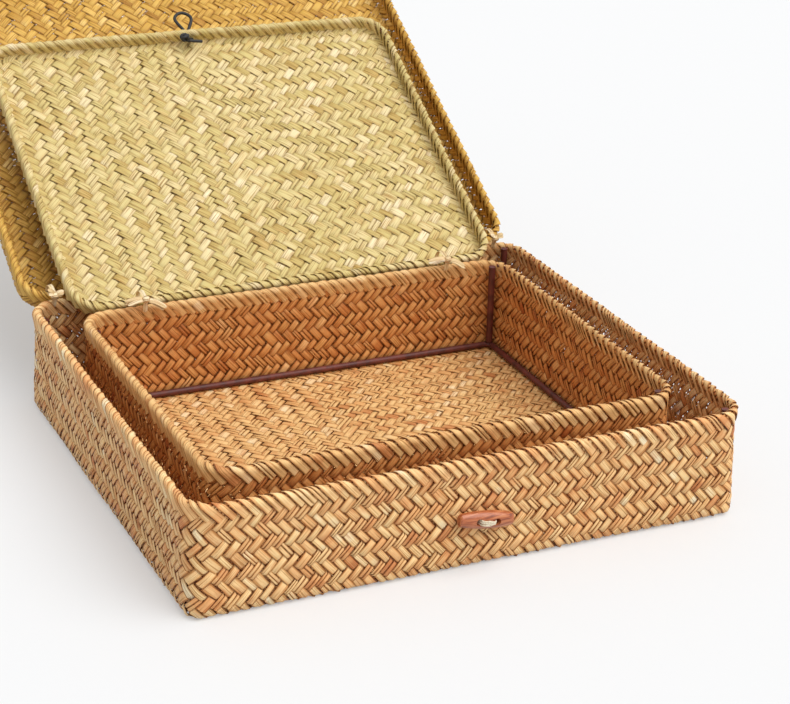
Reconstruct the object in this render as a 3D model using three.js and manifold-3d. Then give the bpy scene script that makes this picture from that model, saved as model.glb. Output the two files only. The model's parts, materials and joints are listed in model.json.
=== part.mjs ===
// Nested pair of woven straw boxes. Each has a shallow woven lid tied to its back rim,
// a wire frame inside, and a wooden toggle with an elastic loop at the front.
// Millimetres, +Z up, front towards -Y. The origin is the middle of the outer underside.

import * as THREE from 'three';
import { mergeVertices } from 'three/addons/utils/BufferGeometryUtils.js';
import Module from 'manifold-3d';

const wasm = await Module();
wasm.setup();

// Outer box, measured over its rim
const OUTER_WIDTH = 340;
const OUTER_DEPTH = 290;
const OUTER_HEIGHT = 68;
const OUTER_CORNER_RADIUS = 20;
const OUTER_TIE_INSET = 17.5;
const OUTER_TOGGLE_HEIGHT = 31.5;
const OUTER_TOGGLE_LEAN = THREE.MathUtils.degToRad(8);
const OUTER_LOOP_REACH = 30;

// Inner box, which stands on the floor of the outer one
const INNER_CORNER_RADIUS = 20;
const INNER_LID_HEIGHT = 13;
const INNER_TIE_INSET = 43;
const INNER_TOGGLE_HEIGHT = 34;
const INNER_LOOP_REACH = 18;

// Room between the two boxes, rim to rim, and between their lids
const LEFT_GAP = 23;
const RIGHT_GAP = 25;
const FRONT_GAP = 32;
const RIM_STEP = 1.3;
const SHUT_LID_ROOM = 1.7;
const OPEN_LID_ROOM = 1;

// Woven sheet and the border folded over its edge
const WALL = 3;
const FLOOR = 3;
const FOOT_ROUNDING = 5;
const FOOT_CORNER_RADIUS = 10;
const BORDER_SKIN = 1.4;
const BOX_BORDER_HEIGHT = 10;
const LID_BORDER_HEIGHT = 9;

// Level bands of the twill weave, with a groove between one band and the next
const BAND = 7.35;
const BAND_GROOVE = 0.8;
const BAND_CREST_DROP = 0.1;

// Wire frame: a hoop inside each border, a ring on the floor and a post in each corner
const HOOP_WIRE = 3;
const FRAME_WIRE = 4.4;

// Tied hinges
const LID_OPEN_ANGLE = THREE.MathUtils.degToRad(150);
const HINGE_OFFSET = 0.2;
const TIE_RADIUS = 9;
const TIE_THICKNESS = 1.8;
const TIE_BREADTH = 3.6;
const TIE_KNOT_SIZE = 4.6;
const TIE_KNOT_LENGTH = 6;
const TIE_KNOT_DROP = 3;
const TIE_KNOT_ROOM = 1.2;
const TIE_TAIL_SPREAD = 7;
const TIE_TAIL_STAND_OFF = 3;
const TIE_TAIL_DROP = 5;
const TIE_TAIL_TIP = 0.8;

// Wooden toggle and the thread that sews it on
const TOGGLE_LENGTH = 33;
const TOGGLE_BREADTH = 10.4;
const TOGGLE_END_BREADTH = 7;
const TOGGLE_THICKNESS = 8;
const TOGGLE_HOLE = 3.4;
const TOGGLE_HOLE_SPACING = 11;
const THREAD = 2.2;

// Elastic loop and its knot
const ELASTIC = 2.2;
const LOOP_BREADTH = 14;
const LOOP_DROOP = 3;
const LOOP_KNOT_SIZE = 5;
const LOOP_KNOT_LENGTH = 6.5;
const LOOP_KNOT_SHIFT = 6;
const LOOP_TAIL_LENGTH = 12;

// Gap that stays between touching pieces
const CLEARANCE = 0.3;

// Facets of the round forms
const CORNER_STEPS = 4;
const EDGE_STEPS = 3;
const THIN_SIDES = 6;
const WIRE_SIDES = 8;
const ROUND_SIDES = 16;
const TIE_HOLE_STEPS = 20;
const BELLY_STEPS = 6;
const LOOP_STEPS = 40;
const SAME_POINT = 1e-4;

// Sizes that follow from those above
const CHANNEL = Math.max(WALL, HOOP_WIRE) + 2 * CLEARANCE;
const CREST_RADIUS = CHANNEL / 2 + BORDER_SKIN;
const BORDER_WIDTH = 2 * CREST_RADIUS;
const WALL_INSET = CREST_RADIUS - WALL / 2;
const HOOP_BELOW_CREST = CREST_RADIUS;
const WALL_BELOW_CREST = HOOP_BELOW_CREST + HOOP_WIRE / 2 + CLEARANCE;
const CREST_LIFT = CLEARANCE / 2;
const FRAME_INSET = WALL_INSET + WALL + CLEARANCE + FRAME_WIRE / 2;

// The open inner lid lies just above the outer back rim, which sets the gap behind the inner box
const RIM_BELOW_HINGE = RIM_STEP + CREST_LIFT + CREST_RADIUS;
const LID_ABOVE_RIM = INNER_LID_HEIGHT + CREST_LIFT + OPEN_LID_ROOM + CREST_RADIUS;
const LID_RUN = LID_ABOVE_RIM + RIM_BELOW_HINGE * Math.cos(LID_OPEN_ANGLE);
const RIM_BEHIND_HINGE = LID_RUN / Math.sin(LID_OPEN_ANGLE);
const BACK_GAP = RIM_BEHIND_HINGE + HINGE_OFFSET + CREST_RADIUS;

const outerBox = {
  name: 'outer',
  width: OUTER_WIDTH,
  depth: OUTER_DEPTH,
  height: OUTER_HEIGHT,
  cornerRadius: OUTER_CORNER_RADIUS,
  lidHeight: RIM_STEP + INNER_LID_HEIGHT + SHUT_LID_ROOM + FLOOR,
  tieSpacing: OUTER_WIDTH - 2 * OUTER_TIE_INSET,
  toggleHeight: OUTER_TOGGLE_HEIGHT,
  toggleLean: OUTER_TOGGLE_LEAN,
  loopReach: OUTER_LOOP_REACH,
  position: new THREE.Vector3(0, 0, 0),
  bodyColour: 0xb98a52,
  lidColour: 0xc8ab68,
};

const innerBox = {
  name: 'inner',
  width: OUTER_WIDTH - LEFT_GAP - RIGHT_GAP,
  depth: OUTER_DEPTH - FRONT_GAP - BACK_GAP,
  height: OUTER_HEIGHT + RIM_STEP - FLOOR - CLEARANCE,
  cornerRadius: INNER_CORNER_RADIUS,
  lidHeight: INNER_LID_HEIGHT,
  tieSpacing: OUTER_WIDTH - LEFT_GAP - RIGHT_GAP - 2 * INNER_TIE_INSET,
  toggleHeight: INNER_TOGGLE_HEIGHT,
  toggleLean: 0,
  loopReach: INNER_LOOP_REACH,
  position: new THREE.Vector3((LEFT_GAP - RIGHT_GAP) / 2, (FRONT_GAP - BACK_GAP) / 2, FLOOR + CLEARANCE),
  bodyColour: 0xad7440,
  lidColour: 0xd9c68c,
};

// Joining and cutting of closed geometries
function toSolid(geometry) {
  const bare = geometry.clone();
  bare.deleteAttribute('normal');
  bare.deleteAttribute('uv');
  const merged = mergeVertices(bare, SAME_POINT);
  const vertProperties = new Float32Array(merged.attributes.position.array);
  const triVerts = new Uint32Array(merged.index.array);
  return new wasm.Manifold(new wasm.Mesh({ numProp: 3, vertProperties, triVerts }));
}

function toGeometry(solid) {
  const faces = solid.getMesh();
  const geometry = new THREE.BufferGeometry();
  geometry.setAttribute('position', new THREE.BufferAttribute(faces.vertProperties.slice(), 3));
  geometry.setIndex(new THREE.BufferAttribute(faces.triVerts.slice(), 1));
  geometry.computeVertexNormals();
  return geometry;
}

function joined(...geometries) {
  const solids = geometries.map(toSolid);
  return toGeometry(solids.reduce((whole, next) => whole.add(next)));
}

function cut(geometry, tools) {
  const solid = toSolid(geometry);
  return toGeometry(tools.map(toSolid).reduce((left, tool) => left.subtract(tool), solid));
}

// Points round the plan outline at one level, set in from it, with four round corners
function planRing(width, depth, radius, inset, level) {
  const points = [];
  const reach = radius - inset;
  for (let corner = 0; corner < 4; corner += 1) {
    const centreX = (corner === 0 || corner === 3 ? 1 : -1) * (width / 2 - radius);
    const centreY = (corner < 2 ? 1 : -1) * (depth / 2 - radius);
    for (let step = 0; step <= CORNER_STEPS; step += 1) {
      const angle = (corner + step / CORNER_STEPS) * (Math.PI / 2);
      const x = centreX + reach * Math.cos(angle);
      const y = centreY + reach * Math.sin(angle);
      points.push(new THREE.Vector3(x, y, level));
    }
  }
  return points;
}

// Rings of points joined into a closed solid: a tube that meets itself, or a stack with flat ends
function joinRings(rings, isTube) {
  const sides = rings[0].length;
  const steps = isTube ? rings.length : rings.length - 1;
  const index = [];
  for (let ring = 0; ring < steps; ring += 1) {
    const next = (ring + 1) % rings.length;
    for (let side = 0; side < sides; side += 1) {
      const after = (side + 1) % sides;
      const a = ring * sides + side;
      const b = ring * sides + after;
      const c = next * sides + after;
      const d = next * sides + side;
      if (isTube) {
        index.push(a, d, c, a, c, b);
      } else {
        index.push(a, b, c, a, c, d);
      }
    }
  }
  const top = steps * sides;
  for (let side = 1; !isTube && side < sides - 1; side += 1) {
    index.push(0, side + 1, side, top, top + side, top + side + 1);
  }
  const geometry = new THREE.BufferGeometry();
  geometry.setFromPoints(rings.flat());
  geometry.setIndex(index);
  geometry.computeVertexNormals();
  return geometry;
}

// Section of points (inset from the outline, height) carried round the outline as a closed ring
function sweepRound(section, width, depth, radius) {
  const loop = THREE.ShapeUtils.isClockWise(section) ? section : section.slice().reverse();
  const lines = loop.map((point) => planRing(width, depth, radius, point.x, point.y));
  const sections = lines[0].map((_, place) => lines.map((line) => line[place]));
  return joinRings(sections, true);
}

function circleSection(inset, height, diameter, sides) {
  const points = [];
  for (let side = 0; side < sides; side += 1) {
    const angle = (2 * Math.PI * side) / sides;
    const x = inset + (diameter / 2) * Math.cos(angle);
    const y = height + (diameter / 2) * Math.sin(angle);
    points.push(new THREE.Vector2(x, y));
  }
  return points;
}

// Folded border: an upturned channel with a half-round crest at z = 0
function borderSection(height) {
  const outside = CREST_RADIUS;
  const inside = CREST_RADIUS - BORDER_SKIN;
  const shape = new THREE.Shape();
  shape.moveTo(0, -height);
  shape.absarc(CREST_RADIUS, -CREST_RADIUS, outside, Math.PI, 0, true);
  shape.lineTo(BORDER_WIDTH, -height);
  shape.lineTo(BORDER_WIDTH - BORDER_SKIN, -height);
  shape.absarc(CREST_RADIUS, -CREST_RADIUS, inside, 0, Math.PI, false);
  shape.lineTo(BORDER_SKIN, -height);
  return shape.getPoints(EDGE_STEPS);
}

// Corner radius of a box at a level: sharp at the foot, and the rim's own from its border up
function cornerAt(box, level) {
  const share = Math.min(level / (box.height - BOX_BORDER_HEIGHT), 1);
  return THREE.MathUtils.lerp(FOOT_CORNER_RADIUS, box.cornerRadius, share);
}

// Levels on a box's walls, from the foot up: the middle of each band and the groove under it
function bandLevels(box) {
  const levels = [];
  const borderFoot = box.height - BOX_BORDER_HEIGHT;
  for (let half = 1; borderFoot - (half * BAND) / 2 > FOOT_ROUNDING + BAND / 4; half += 1) {
    levels.unshift({ level: borderFoot - (half * BAND) / 2, isGroove: half % 2 === 0 });
  }
  return levels;
}

// Grooves between the bands of a panel: wedges along x below z = 0
function panelGrooves(width, depth) {
  const reach = Math.floor(depth / 2 / BAND - 1 / 2);
  const end = (reach + 1 / 2) * BAND;
  const shape = new THREE.Shape();
  shape.moveTo(end, CLEARANCE);
  shape.lineTo(-end, CLEARANCE);
  shape.lineTo(-end, -BAND_CREST_DROP);
  for (let band = -reach; band <= reach; band += 1) {
    shape.lineTo(band * BAND, -BAND_GROOVE);
    shape.lineTo((band + 1 / 2) * BAND, -BAND_CREST_DROP);
  }
  const wedges = new THREE.ExtrudeGeometry(shape, { depth: width, bevelEnabled: false });
  const alongY = new THREE.Vector3(0, 1, 0);
  const alongZ = new THREE.Vector3(0, 0, 1);
  const alongX = new THREE.Vector3(1, 0, 0);
  wedges.translate(0, 0, -width / 2);
  wedges.applyMatrix4(new THREE.Matrix4().makeBasis(alongY, alongZ, alongX));
  return wedges;
}

// Open woven tray, floor down, with its edge just under the hoop
function wovenTray(box, height, radiusAt, levels) {
  const top = height - WALL_BELOW_CREST;
  const wallFace = (inset, groove, foot, edge, end) => {
    const ring = (from, level) => planRing(box.width, box.depth, radiusAt(level), from, level);
    const rings = [];
    for (let step = 0; step <= EDGE_STEPS; step += 1) {
      const turn = (step / EDGE_STEPS) * (Math.PI / 2);
      rings.push(ring(inset + edge * (1 - Math.sin(turn)), foot + edge * (1 - Math.cos(turn))));
    }
    for (const { level, isGroove } of levels) {
      rings.push(ring(isGroove ? inset + groove : inset, level));
    }
    rings.push(ring(inset, end));
    return joinRings(rings, false);
  };
  const innerEdge = Math.max(FOOT_ROUNDING - Math.max(WALL, FLOOR), CLEARANCE);
  const outside = wallFace(WALL_INSET, BAND_GROOVE, 0, FOOT_ROUNDING, top);
  const inside = wallFace(WALL_INSET + WALL, -BAND_GROOVE, FLOOR, innerEdge, height);
  const panelInset = FRAME_INSET + FRAME_WIRE / 2;
  const grooves = panelGrooves(box.width - 2 * panelInset, box.depth - 2 * panelInset);
  grooves.translate(0, 0, FLOOR);
  return cut(outside, [inside, grooves]);
}

// Ring of raffia round the hinge line, which is the x axis here, with room to spare
function tieRing(room, sides, steps) {
  const points = [];
  for (let side = 0; side <= sides; side += 1) {
    const angle = (2 * Math.PI * side) / sides;
    const across = TIE_RADIUS + (TIE_THICKNESS / 2 + room) * Math.cos(angle);
    points.push(new THREE.Vector2(across, (TIE_BREADTH / 2 + room) * Math.sin(angle)));
  }
  points[sides] = points[0].clone();
  const ring = new THREE.LatheGeometry(points, steps);
  ring.rotateZ(Math.PI / 2);
  return ring;
}

// Room for that ring in the walls and borders
function tieHole() {
  return tieRing(CLEARANCE, WIRE_SIDES, TIE_HOLE_STEPS);
}

// The tie: its ring, a flat knot on the inner side and two tails along the rim
function tieGeometry() {
  const knotY = -(HINGE_OFFSET + BORDER_WIDTH + TIE_KNOT_ROOM + TIE_KNOT_SIZE / 2);
  const knotZ = -TIE_KNOT_DROP;
  const cylinderAxis = new THREE.Vector3(0, 1, 0);
  const knot = new THREE.SphereGeometry(TIE_KNOT_SIZE / 2, WIRE_SIDES, THIN_SIDES);
  knot.scale(TIE_KNOT_LENGTH / TIE_KNOT_SIZE, 1, 1);
  knot.translate(0, knotY, knotZ);
  const tails = [-1, 1].map((side) => {
    const run = new THREE.Vector3(side * TIE_TAIL_SPREAD, -TIE_TAIL_STAND_OFF, -TIE_TAIL_DROP);
    const length = run.length();
    const tail = new THREE.CylinderGeometry(TIE_TAIL_TIP / 2, TIE_THICKNESS / 2, length, THIN_SIDES);
    tail.translate(0, length / 2, 0);
    tail.applyQuaternion(new THREE.Quaternion().setFromUnitVectors(cylinderAxis, run.normalize()));
    tail.translate(side * TIE_KNOT_SIZE / 4, knotY, knotZ);
    return tail;
  });
  return joined(tieRing(0, THIN_SIDES, ROUND_SIDES), knot, ...tails);
}

// Hole of a given diameter along y
function holeAlongY(x, y, z, diameter, length) {
  const hole = new THREE.CylinderGeometry(diameter / 2, diameter / 2, length, WIRE_SIDES);
  hole.translate(x, y, z);
  return hole;
}

// Barrel toggle with cut ends and two holes, lying along x and centred on the origin
function toggleGeometry() {
  const half = TOGGLE_LENGTH / 2;
  const end = TOGGLE_END_BREADTH / 2;
  const belly = new THREE.QuadraticBezierCurve(
    new THREE.Vector2(end, -half),
    new THREE.Vector2(TOGGLE_BREADTH - end, 0),
    new THREE.Vector2(end, half),
  );
  const profile = [new THREE.Vector2(0, -half), ...belly.getPoints(BELLY_STEPS), new THREE.Vector2(0, half)];
  const barrel = new THREE.LatheGeometry(profile, ROUND_SIDES);
  barrel.rotateZ(-Math.PI / 2);
  barrel.scale(1, TOGGLE_THICKNESS / TOGGLE_BREADTH, 1);
  const holes = [-1, 1].map((side) => {
    const x = (side * TOGGLE_HOLE_SPACING) / 2;
    return holeAlongY(x, 0, 0, TOGGLE_HOLE, 2 * TOGGLE_THICKNESS);
  });
  return cut(barrel, holes);
}

// Elastic loop through the front of a lid, with its knot and tail inside, level with the rim
function loopGeometry(frontY, height, reach) {
  const leg = ELASTIC / 2 + CLEARANCE;
  const insideY = frontY + BORDER_WIDTH + CLEARANCE;
  const knotPlace = new THREE.Vector3(-LOOP_KNOT_SHIFT, insideY + LOOP_KNOT_SIZE / 2, CREST_LIFT);
  const bend = (LOOP_BREADTH - ELASTIC) / 2;
  const bendStart = reach - ELASTIC / 2 - bend;
  const hanging = (x, out) => new THREE.Vector3(x, frontY - out, height - (LOOP_DROOP * out) / reach);
  const half = [
    new THREE.Vector3(leg, insideY + ELASTIC / 2, height - CLEARANCE),
    new THREE.Vector3(leg, frontY + BORDER_WIDTH, height),
    new THREE.Vector3(leg, frontY + BORDER_WIDTH / 2, height),
    new THREE.Vector3(leg, frontY - ELASTIC, height),
    hanging(bend, bendStart),
    hanging(bend * Math.SQRT1_2, bendStart + bend * Math.SQRT1_2),
  ];
  const end = hanging(0, bendStart + bend);
  const other = half.map((point) => new THREE.Vector3(-point.x, point.y, point.z)).reverse();
  const route = new THREE.CatmullRomCurve3([knotPlace, ...half, end, ...other, knotPlace]);
  const section = new THREE.Shape(circleSection(0, 0, ELASTIC, THIN_SIDES));
  const along = { steps: LOOP_STEPS, extrudePath: route, bevelEnabled: false };
  const cord = new THREE.ExtrudeGeometry(section, along);
  const knot = new THREE.SphereGeometry(LOOP_KNOT_SIZE / 2, WIRE_SIDES, THIN_SIDES);
  knot.scale(LOOP_KNOT_LENGTH / LOOP_KNOT_SIZE, 1, 1);
  const tail = new THREE.CylinderGeometry(ELASTIC / 2, ELASTIC / 2, LOOP_TAIL_LENGTH, THIN_SIDES);
  tail.rotateZ(Math.PI / 2);
  tail.translate(LOOP_TAIL_LENGTH / 2, 0, 0);
  for (const piece of [knot, tail]) {
    piece.translate(...knotPlace);
  }
  return joined(cord, knot, tail);
}

const woodMaterial = new THREE.MeshStandardMaterial({ color: 0x7d3f1f, roughness: 0.35 });
const threadMaterial = new THREE.MeshStandardMaterial({ color: 0xe4dabd, roughness: 0.9 });
const raffiaMaterial = new THREE.MeshStandardMaterial({ color: 0xe2d5b0, roughness: 0.8 });
const wireMaterial = new THREE.MeshStandardMaterial({ color: 0x4d2225, roughness: 0.5 });
const elasticMaterial = new THREE.MeshStandardMaterial({ color: 0x151515, roughness: 0.7 });

function strawMaterial(colour) {
  return new THREE.MeshStandardMaterial({ color: colour, roughness: 0.7 });
}

function addMesh(parent, name, geometry, material) {
  const mesh = new THREE.Mesh(geometry, material);
  mesh.name = name;
  parent.add(mesh);
  return mesh;
}

// Body of a box: tray, border, wire frame, toggle and ties
function boxBody(box) {
  const body = new THREE.Group();
  body.position.copy(box.position);
  const straw = strawMaterial(box.bodyColour);
  const plan = [box.width, box.depth, box.cornerRadius];
  const hingeY = box.depth / 2 + HINGE_OFFSET;
  const hingeZ = box.height + CREST_LIFT;
  const wallFrontY = -box.depth / 2 + WALL_INSET;

  const tieHoles = [-1, 1].map((side) => {
    return tieHole().translate((side * box.tieSpacing) / 2, hingeY, hingeZ);
  });
  const threadHoles = [-1, 1].map((side) => {
    const hole = holeAlongY((side * TOGGLE_HOLE_SPACING) / 2, 0, 0, THREAD + 2 * CLEARANCE, 4 * WALL);
    return hole.rotateY(box.toggleLean).translate(0, wallFrontY, box.toggleHeight);
  });

  const tray = wovenTray(box, box.height, (level) => cornerAt(box, level), bandLevels(box));
  addMesh(body, `${box.name}_shell`, cut(tray, [...tieHoles, ...threadHoles]), straw);
  const border = sweepRound(borderSection(BOX_BORDER_HEIGHT), ...plan);
  border.translate(0, 0, box.height);
  addMesh(body, `${box.name}_rim_border`, cut(border, tieHoles), straw);
  const hoopRing = circleSection(CREST_RADIUS, box.height - HOOP_BELOW_CREST, HOOP_WIRE, THIN_SIDES);
  addMesh(body, `${box.name}_rim_hoop`, sweepRound(hoopRing, ...plan), wireMaterial);

  const ringZ = FLOOR + CLEARANCE + FRAME_WIRE / 2;
  const ringTop = ringZ + FRAME_WIRE / 2;
  const wireRing = circleSection(FRAME_INSET, ringZ, FRAME_WIRE, WIRE_SIDES);
  const footRing = sweepRound(wireRing, box.width, box.depth, cornerAt(box, ringTop));
  addMesh(body, `${box.name}_foot_wire`, footRing, wireMaterial);
  const postLevels = [ringTop + CLEARANCE, box.height - BOX_BORDER_HEIGHT - CLEARANCE];
  for (const [end, signY] of [['front', -1], ['back', 1]]) {
    for (const [side, signX] of [['left', -1], ['right', 1]]) {
      const [foot, top] = postLevels.map((level) => {
        const radius = cornerAt(box, level);
        const inset = radius - (radius - FRAME_INSET) * Math.SQRT1_2;
        return new THREE.Vector3(signX * (box.width / 2 - inset), signY * (box.depth / 2 - inset), level);
      });
      const run = top.clone().sub(foot);
      const post = new THREE.CylinderGeometry(FRAME_WIRE / 2, FRAME_WIRE / 2, run.length(), WIRE_SIDES);
      const mesh = addMesh(body, `${box.name}_post_${end}_${side}`, post, wireMaterial);
      mesh.quaternion.setFromUnitVectors(new THREE.Vector3(0, 1, 0), run.normalize());
      mesh.position.lerpVectors(foot, top, 1 / 2);
    }
  }

  const toggle = addMesh(body, `${box.name}_toggle`, toggleGeometry(), woodMaterial);
  const toggleY = wallFrontY - CLEARANCE - TOGGLE_THICKNESS / 2;
  toggle.position.set(0, toggleY, box.toggleHeight);
  toggle.rotation.y = box.toggleLean;
  const stitchFront = toggleY - TOGGLE_THICKNESS / 2 - CLEARANCE - THREAD;
  const stitchBack = wallFrontY + WALL + CLEARANCE + THREAD;
  const stitchRing = circleSection(THREAD / 2, 0, THREAD, THIN_SIDES);
  const stitchWidth = TOGGLE_HOLE_SPACING + THREAD;
  const stitch = sweepRound(stitchRing, stitchWidth, stitchBack - stitchFront, THREAD);
  const stitchMesh = addMesh(body, `${box.name}_toggle_stitch`, stitch, threadMaterial);
  stitchMesh.position.set(0, (stitchFront + stitchBack) / 2, box.toggleHeight);
  stitchMesh.rotation.y = box.toggleLean;

  for (const [side, sign] of [['left', -1], ['right', 1]]) {
    const tie = addMesh(body, `${box.name}_tie_${side}`, tieGeometry(), raffiaMaterial);
    tie.position.set((sign * box.tieSpacing) / 2, hingeY, hingeZ);
  }
  return body;
}

// Lid of a box, modelled shut about its hinge line and turned back to its open place
function boxLid(box) {
  const lid = new THREE.Group();
  lid.position.copy(box.position);
  lid.position.y += box.depth / 2 + HINGE_OFFSET;
  lid.position.z += box.height + CREST_LIFT;
  lid.rotation.x = -LID_OPEN_ANGLE;
  const straw = strawMaterial(box.lidColour);
  const plan = [box.width, box.depth, box.cornerRadius];
  const centreY = -box.depth / 2 - HINGE_OFFSET;
  const frontY = -box.depth - HINGE_OFFSET;

  const tieHoles = [-1, 1].map((side) => tieHole().translate((side * box.tieSpacing) / 2, 0, 0));
  const loopHole = ELASTIC + 2 * CLEARANCE;
  const loopZ = CREST_LIFT + HOOP_BELOW_CREST + HOOP_WIRE / 2 + CLEARANCE + loopHole / 2;
  const loopSlot = new THREE.BoxGeometry(2 * loopHole, 2 * BORDER_WIDTH, loopHole + CLEARANCE);
  loopSlot.translate(0, frontY + BORDER_WIDTH / 2, loopZ - CLEARANCE / 2);

  const shell = wovenTray(box, box.lidHeight, () => box.cornerRadius, []);
  shell.rotateX(Math.PI);
  shell.translate(0, centreY, CREST_LIFT + box.lidHeight);
  addMesh(lid, `${box.name}_lid_shell`, cut(shell, [...tieHoles, loopSlot]), straw);
  const border = sweepRound(borderSection(LID_BORDER_HEIGHT), ...plan);
  border.rotateX(Math.PI);
  border.translate(0, centreY, CREST_LIFT);
  addMesh(lid, `${box.name}_lid_border`, cut(border, [...tieHoles, loopSlot]), straw);
  const hoopRing = circleSection(CREST_RADIUS, CREST_LIFT + HOOP_BELOW_CREST, HOOP_WIRE, THIN_SIDES);
  const hoop = sweepRound(hoopRing, ...plan);
  hoop.translate(0, centreY, 0);
  addMesh(lid, `${box.name}_lid_hoop`, hoop, wireMaterial);
  const loop = loopGeometry(frontY, loopZ, box.loopReach);
  addMesh(lid, `${box.name}_closing_loop`, loop, elasticMaterial);
  return lid;
}

const group = new THREE.Group();
for (const box of [outerBox, innerBox]) {
  group.add(boxBody(box));
  group.add(boxLid(box));
}

export default group;
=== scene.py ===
import json
import math

import bpy
import numpy as np
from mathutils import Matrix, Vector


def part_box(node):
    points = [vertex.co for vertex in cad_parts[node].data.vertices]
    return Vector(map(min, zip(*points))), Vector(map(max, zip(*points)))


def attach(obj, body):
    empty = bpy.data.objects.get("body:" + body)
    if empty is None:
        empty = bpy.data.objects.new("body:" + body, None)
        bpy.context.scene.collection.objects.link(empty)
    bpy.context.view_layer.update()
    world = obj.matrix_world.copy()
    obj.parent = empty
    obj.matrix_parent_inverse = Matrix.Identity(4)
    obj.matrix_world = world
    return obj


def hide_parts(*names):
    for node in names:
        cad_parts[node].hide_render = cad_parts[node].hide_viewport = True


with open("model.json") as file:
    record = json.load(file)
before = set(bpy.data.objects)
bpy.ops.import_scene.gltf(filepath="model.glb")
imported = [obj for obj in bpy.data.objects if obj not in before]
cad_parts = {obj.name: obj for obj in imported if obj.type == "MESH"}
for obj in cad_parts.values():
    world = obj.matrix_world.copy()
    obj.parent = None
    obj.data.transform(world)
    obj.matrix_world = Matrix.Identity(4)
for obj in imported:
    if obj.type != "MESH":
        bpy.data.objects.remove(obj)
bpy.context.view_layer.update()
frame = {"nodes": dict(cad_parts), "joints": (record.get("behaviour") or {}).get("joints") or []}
bpy.ops.object.select_all(action="DESELECT")

# The camera
# A long lens looks down on the front left corner of the open boxes.
# The horizon leans a little, as in the photograph.
LENS = 94.8
CAMERA_PLACE = (-0.48686, -1.01026, 0.56400)
CAMERA_TURN = (66.161, -2.440, -25.293)
camera = bpy.data.objects.new("camera", bpy.data.cameras.new("camera"))
camera.data.lens = LENS
camera.data.sensor_width = 36
camera.location = CAMERA_PLACE
camera.rotation_euler = [math.radians(angle) for angle in CAMERA_TURN]
bpy.context.scene.collection.objects.link(camera)
bpy.context.scene.camera = camera
bpy.context.scene.view_settings.view_transform = "Standard"

# The closing loops
# A black elastic cord comes out through the middle of each lid's front skirt, makes a loop to hook
# over the toggle, goes back in and ends in a knot with a short tail inside the skirt.
MM = 0.001
LID_OPEN_TILT = math.radians(30)
HINGE_RISE = 0.15
HINGE_OFFSET = 0.2
ELASTIC_DIAMETER = 2.2
ELASTIC_HEIGHT = 6.55
ELASTIC_SPACING = 1.4
LOOP_BEND = 5.9
LOOP_KNOT_DEPTH = 9.2
LOOP_KNOT_SHIFT = 6.0
LOOP_KNOT_HEIGHT = 0.3
LOOP_REACHES = {"outer": 30.0, "inner": 18.0}
BOX_DEPTHS = {"outer": 290.0, "inner": 227.954}
KNOT_TURNS = 2.25
ROUTE_POINTS = 60
joint_places = {joint["name"]: joint.get("pos_m") for joint in frame["joints"]}


def colour(red, green, blue):
    """A screen colour of 0 to 255 as the linear colour that materials take."""
    steps = [value / 255 for value in (red, green, blue)]
    return tuple(s / 12.92 if s <= 0.04045 else ((s + 0.055) / 1.055) ** 2.4 for s in steps) + (1.0,)


def new_material(name):
    """A material with its Principled shader, node tree and link function."""
    material = bpy.data.materials.new(name)
    material.use_nodes = True
    tree = material.node_tree
    return material, tree.nodes["Principled BSDF"], tree.nodes, tree.links.new


def open_lid(hinge, out, across, deep):
    """A point of an open lid: along the hinge, out from it, and from the rim plane to the panel."""
    forward = out * math.cos(LID_OPEN_TILT) + deep * math.sin(LID_OPEN_TILT)
    upward = out * math.sin(LID_OPEN_TILT) - deep * math.cos(LID_OPEN_TILT)
    return (hinge[0] + across * MM, hinge[1] + forward * MM, hinge[2] + upward * MM)


def cord_curve(name, points, diameter):
    """A round cord along a smooth curve through the points."""
    curve = bpy.data.curves.new(name, "CURVE")
    curve.dimensions = "3D"
    curve.bevel_depth = diameter * MM / 2
    curve.bevel_resolution = 4
    curve.use_fill_caps = True
    spline = curve.splines.new("POLY")
    spline.points.add(len(points) - 1)
    for place, point in zip(spline.points, points):
        place.co = (*point, 1)
    piece = bpy.data.objects.new(name, curve)
    bpy.context.scene.collection.objects.link(piece)
    return piece


def smooth_route(points, count):
    """A smooth line of count points through the given ones."""
    points = np.array(points, float)
    ends = np.vstack([2 * points[0] - points[1], points, 2 * points[-1] - points[-2]])
    spans = len(points) - 1
    route = []
    for step in np.linspace(0, spans, count):
        leg = min(int(step), spans - 1)
        t = step - leg
        a, b, c, d = ends[leg:leg + 4]
        bend = 2 * b + (c - a) * t + (2 * a - 5 * b + 4 * c - d) * t**2 + (3 * b - a - 3 * c + d) * t**3
        route.append(tuple(bend / 2))
    return route


elastic, shader, nodes, link = new_material("black_elastic")
coords = nodes.new("ShaderNodeTexCoord")
braid = nodes.new("ShaderNodeTexVoronoi")
braid.inputs["Scale"].default_value = 2600
braid_tone = nodes.new("ShaderNodeValToRGB")
braid_tone.color_ramp.elements[0].color = colour(34, 33, 34)
braid_tone.color_ramp.elements[1].color = colour(12, 12, 13)
braid_bump = nodes.new("ShaderNodeBump")
braid_bump.inputs["Strength"].default_value = 0.5
braid_bump.inputs["Distance"].default_value = 0.0002
link(coords.outputs["Object"], braid.inputs["Vector"])
link(braid.outputs["Distance"], braid_tone.inputs["Fac"])
link(braid_tone.outputs["Color"], shader.inputs["Base Color"])
link(braid.outputs["Distance"], braid_bump.inputs["Height"])
link(braid_bump.outputs["Normal"], shader.inputs["Normal"])
shader.inputs["Roughness"].default_value = 0.55

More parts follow.
